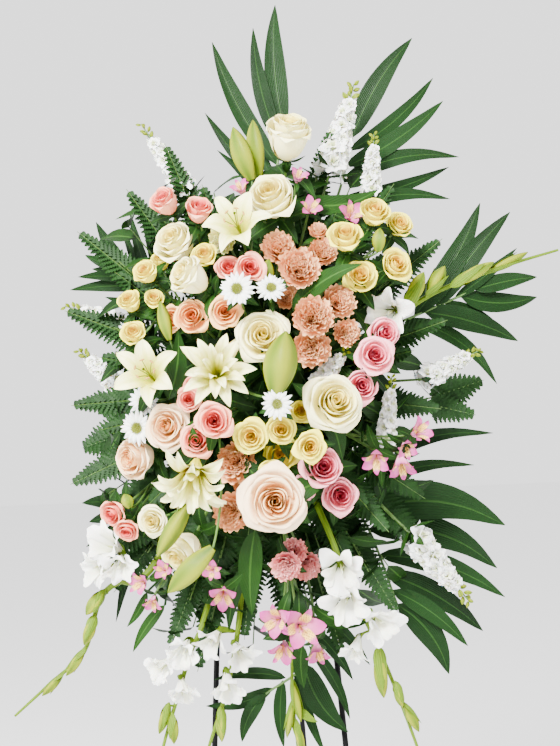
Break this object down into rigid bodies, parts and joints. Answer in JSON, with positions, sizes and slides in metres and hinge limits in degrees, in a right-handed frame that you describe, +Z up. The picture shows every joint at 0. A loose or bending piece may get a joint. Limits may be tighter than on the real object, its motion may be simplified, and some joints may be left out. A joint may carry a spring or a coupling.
{
  "type": "standing funeral flower spray",
  "caption": "Tall funeral spray of roses, lilies, carnations, gladioli and palm leaves set in a foam tray that hooks on a folding black wire easel.",
  "frame": {"origin": "on the floor, under the middle of the whole spray and easel", "axes": "+Z up, the flowers face -Y, +X to the viewer's right"},
  "size_m": [0.7678, 0.695, 1.4652],
  "materials": {
    "wire": "black gloss enamel",
    "tray": "green moulded plastic",
    "foam": "wet green floral foam",
    "cream": "soft petals, ivory with a warmer heart",
    "blush": "soft petals, pale blush",
    "white": "soft white petals",
    "yellow": "soft petals, butter yellow",
    "pink": "soft petals, rose pink",
    "coral": "soft petals, coral pink",
    "peach": "ruffled petals, peach with darker depths",
    "mauve": "pink-mauve petals with yellow and dark streaks",
    "lily": "waxy petals, cream with yellow-green ribs and buds",
    "leaf": "glossy deep green leaves with parallel veins",
    "fern": "matt green fern",
    "spear": "lime green stems and closed buds"
  },
  "bodies": {
    "stand": {"easel_leg_left": "wire", "easel_leg_right": "wire", "easel_top_bar": "wire", "easel_hanger_bar": "wire", "easel_low_bar": "wire", "foam_tray": "tray", "foam_brick_upper": "foam", "foam_brick_lower": "foam", "cream_roses_top": "cream", "white_roses_left": "cream", "cream_rose_upper": "cream", "cream_rose_right": "cream", "blush_rose_low": "blush", "blush_roses_left": "blush", "white_roses_low_left": "cream", "yellow_roses_right": "yellow", "yellow_roses_left": "yellow", "pink_roses_upper_left": "coral", "peach_roses_left": "peach", "pink_roses_right": "pink", "pink_roses_low_right": "pink", "coral_roses_centre": "coral", "yellow_roses_centre": "yellow", "coral_roses_low_left": "coral", "peach_carnations_upper": "peach", "peach_carnations_right": "peach", "peach_carnations_low": "peach", "pink_carnations": "pink", "lily_left": "lily", "lily_centre": "lily", "lily_low": "lily", "lily_top": "lily", "daisies_centre": "white", "daisies_left": "white", "stock_top_right": "white", "stock_top_left": "white", "stock_left": "white", "stock_centre_right": "white", "stock_right": "white", "stock_low_right": "white", "gladiolus_right": "spear", "gladiolus_left": "spear", "gladioli_bottom_left": "white", "gladioli_bottom": "white", "gladioli_low_right": "white", "green_spears_bottom": "spear", "alstroemeria_bottom": "mauve", "alstroemeria_low_left": "mauve", "alstroemeria_right": "mauve", "alstroemeria_top": "mauve", "palm_top": "leaf", "palm_top_right": "leaf", "palm_right": "leaf", "palm_low_right": "leaf", "palm_bottom": "leaf", "palm_left": "leaf", "palm_low_left": "leaf", "fern_left": "fern", "fern_right": "fern"},
    "back_leg": {"easel_back_leg": "wire"}
  },
  "joints": [
    {"name": "back_leg_fold", "type": "hinge", "parent": "stand", "child": "back_leg", "pos_m": [-0.02256, 0.08865, 1.2], "axis": [1, 0, 0], "range_deg": [-22, 0]}
  ]
}
